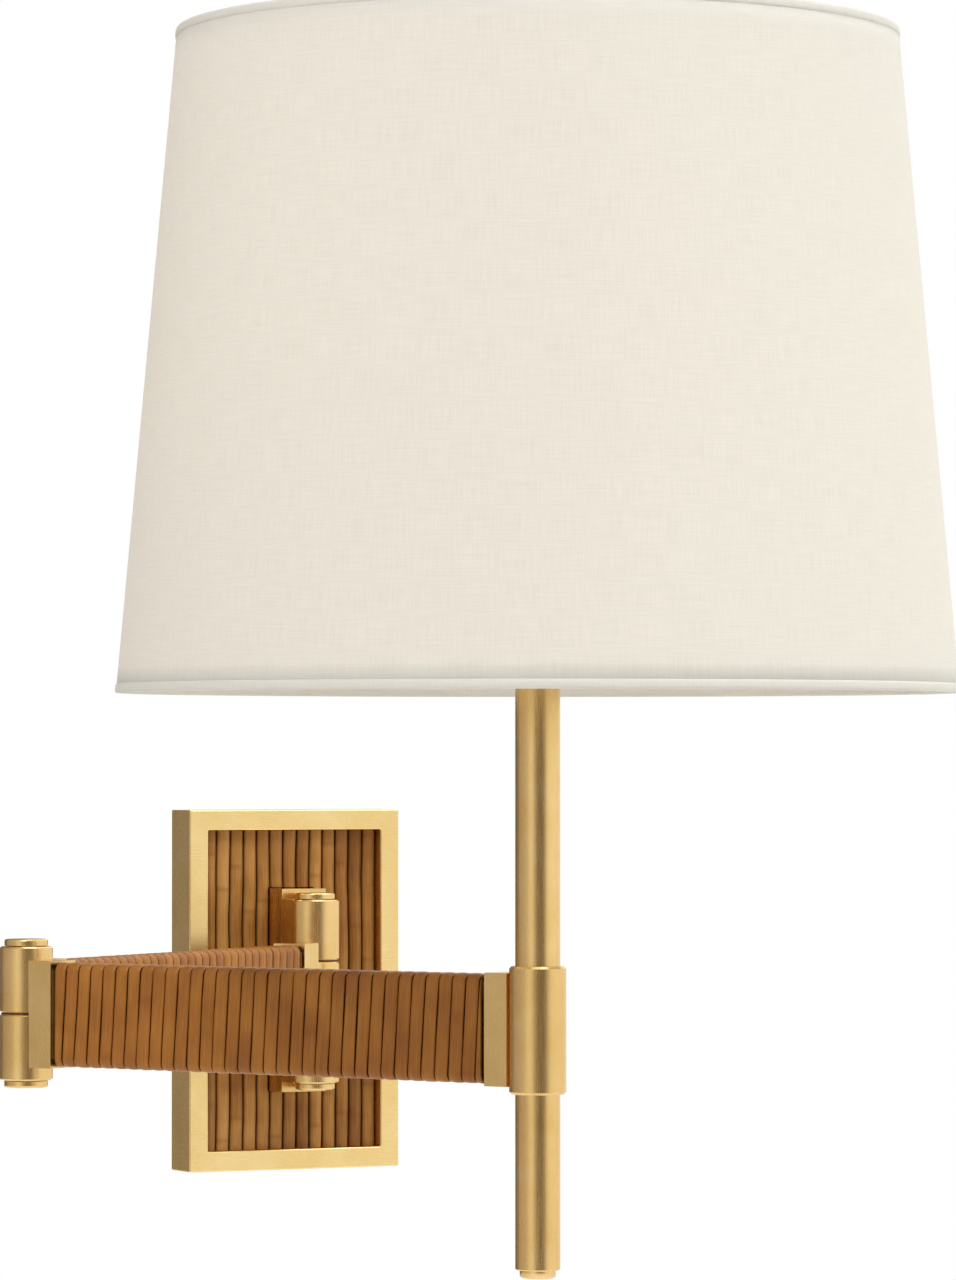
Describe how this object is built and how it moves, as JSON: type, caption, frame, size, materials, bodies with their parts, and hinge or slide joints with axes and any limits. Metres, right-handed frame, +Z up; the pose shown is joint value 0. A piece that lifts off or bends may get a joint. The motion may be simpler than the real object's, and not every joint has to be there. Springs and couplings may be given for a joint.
{
  "type": "swing arm wall sconce",
  "caption": "Wall lamp with a cane-faced brass plate, two rattan-wrapped hinged arms and a brass post under a tapered linen drum shade.",
  "frame": {"origin": "middle of the wall plate, on the wall plane", "axes": "+Z up, +Y into the wall, -Y into the room, +X to the right seen from the room"},
  "size_m": [0.3556, 0.654, 0.5262],
  "materials": {
    "satin_brass": "hand-rubbed satin brass",
    "zinc_steel": "zinc plated",
    "rattan_wrap": "flat rattan strand, satin lacquer",
    "split_cane": "half-round cane, satin lacquer",
    "plywood": "stained board",
    "black_nylon": "matte",
    "phenolic": "moulded, satin",
    "cable_jacket": "matte",
    "opal_glass": "opal",
    "shade_linen": "off-white linen on a stiff liner"
  },
  "bodies": {
    "wall_plate": {"mounting_strap": "zinc_steel", "backplate_frame": "satin_brass", "backing_board": "plywood", "cane_01": "split_cane", "cane_02": "split_cane", "cane_03": "split_cane", "cane_04": "split_cane", "cane_05": "split_cane", "cane_06_upper": "split_cane", "cane_06_lower": "split_cane", "cane_07_upper": "split_cane", "cane_07_lower": "split_cane", "cane_08_upper": "split_cane", "cane_08_lower": "split_cane", "cane_09": "split_cane", "cane_10": "split_cane", "cane_11": "split_cane", "cane_12": "split_cane", "cane_13": "split_cane", "side_screw_left": "satin_brass", "side_screw_right": "satin_brass", "wall_bracket": "satin_brass", "bracket_screw_lower": "zinc_steel", "bracket_screw_upper": "zinc_steel", "wall_hinge_pin": "satin_brass", "wall_hinge_cap": "satin_brass", "wall_washer_lower": "black_nylon", "wall_washer_upper": "black_nylon"},
    "inner_arm": {"inner_arm_wall_block": "satin_brass", "inner_arm_core": "satin_brass", "inner_arm_wrap": "rattan_wrap", "inner_arm_lead": "cable_jacket", "inner_arm_elbow_block": "satin_brass", "elbow_pin": "satin_brass", "elbow_cap": "satin_brass", "elbow_washer": "black_nylon"},
    "outer_arm": {"outer_arm_elbow_block": "satin_brass", "outer_arm_core": "satin_brass", "outer_arm_wrap": "rattan_wrap", "outer_arm_lead": "cable_jacket", "post_collar": "satin_brass", "collar_set_screw": "zinc_steel", "post_tube": "satin_brass", "post_end_cap": "satin_brass", "post_nipple": "satin_brass", "harp_saddle": "satin_brass", "socket_cap": "satin_brass", "socket_shell": "satin_brass", "socket_mechanism": "phenolic", "socket_screw_shell": "satin_brass", "bulb_base": "zinc_steel", "bulb_glass": "opal_glass", "harp": "satin_brass", "shade_spider": "satin_brass", "finial": "satin_brass", "shade_cover": "shade_linen", "shade_bottom_ring": "satin_brass"},
    "switch_key": {"switch_key": "phenolic"}
  },
  "joints": [
    {"name": "wall_swing", "type": "hinge", "parent": "wall_plate", "child": "inner_arm", "pos_m": [0, -0.045, 0], "axis": [0, 0, 1], "range_deg": [-37.5, 142.5]},
    {"name": "elbow_swing", "type": "hinge", "parent": "inner_arm", "child": "outer_arm", "pos_m": [-0.2269, -0.21911, 0], "axis": [0, 0, 1], "range_deg": [-168.5, 11.5]},
    {"name": "switch_turn", "type": "hinge", "parent": "outer_arm", "child": "switch_key", "pos_m": [-0.10152, -0.49616, 0.1912], "axis": [0, -1, 0], "continuous": true}
  ]
}
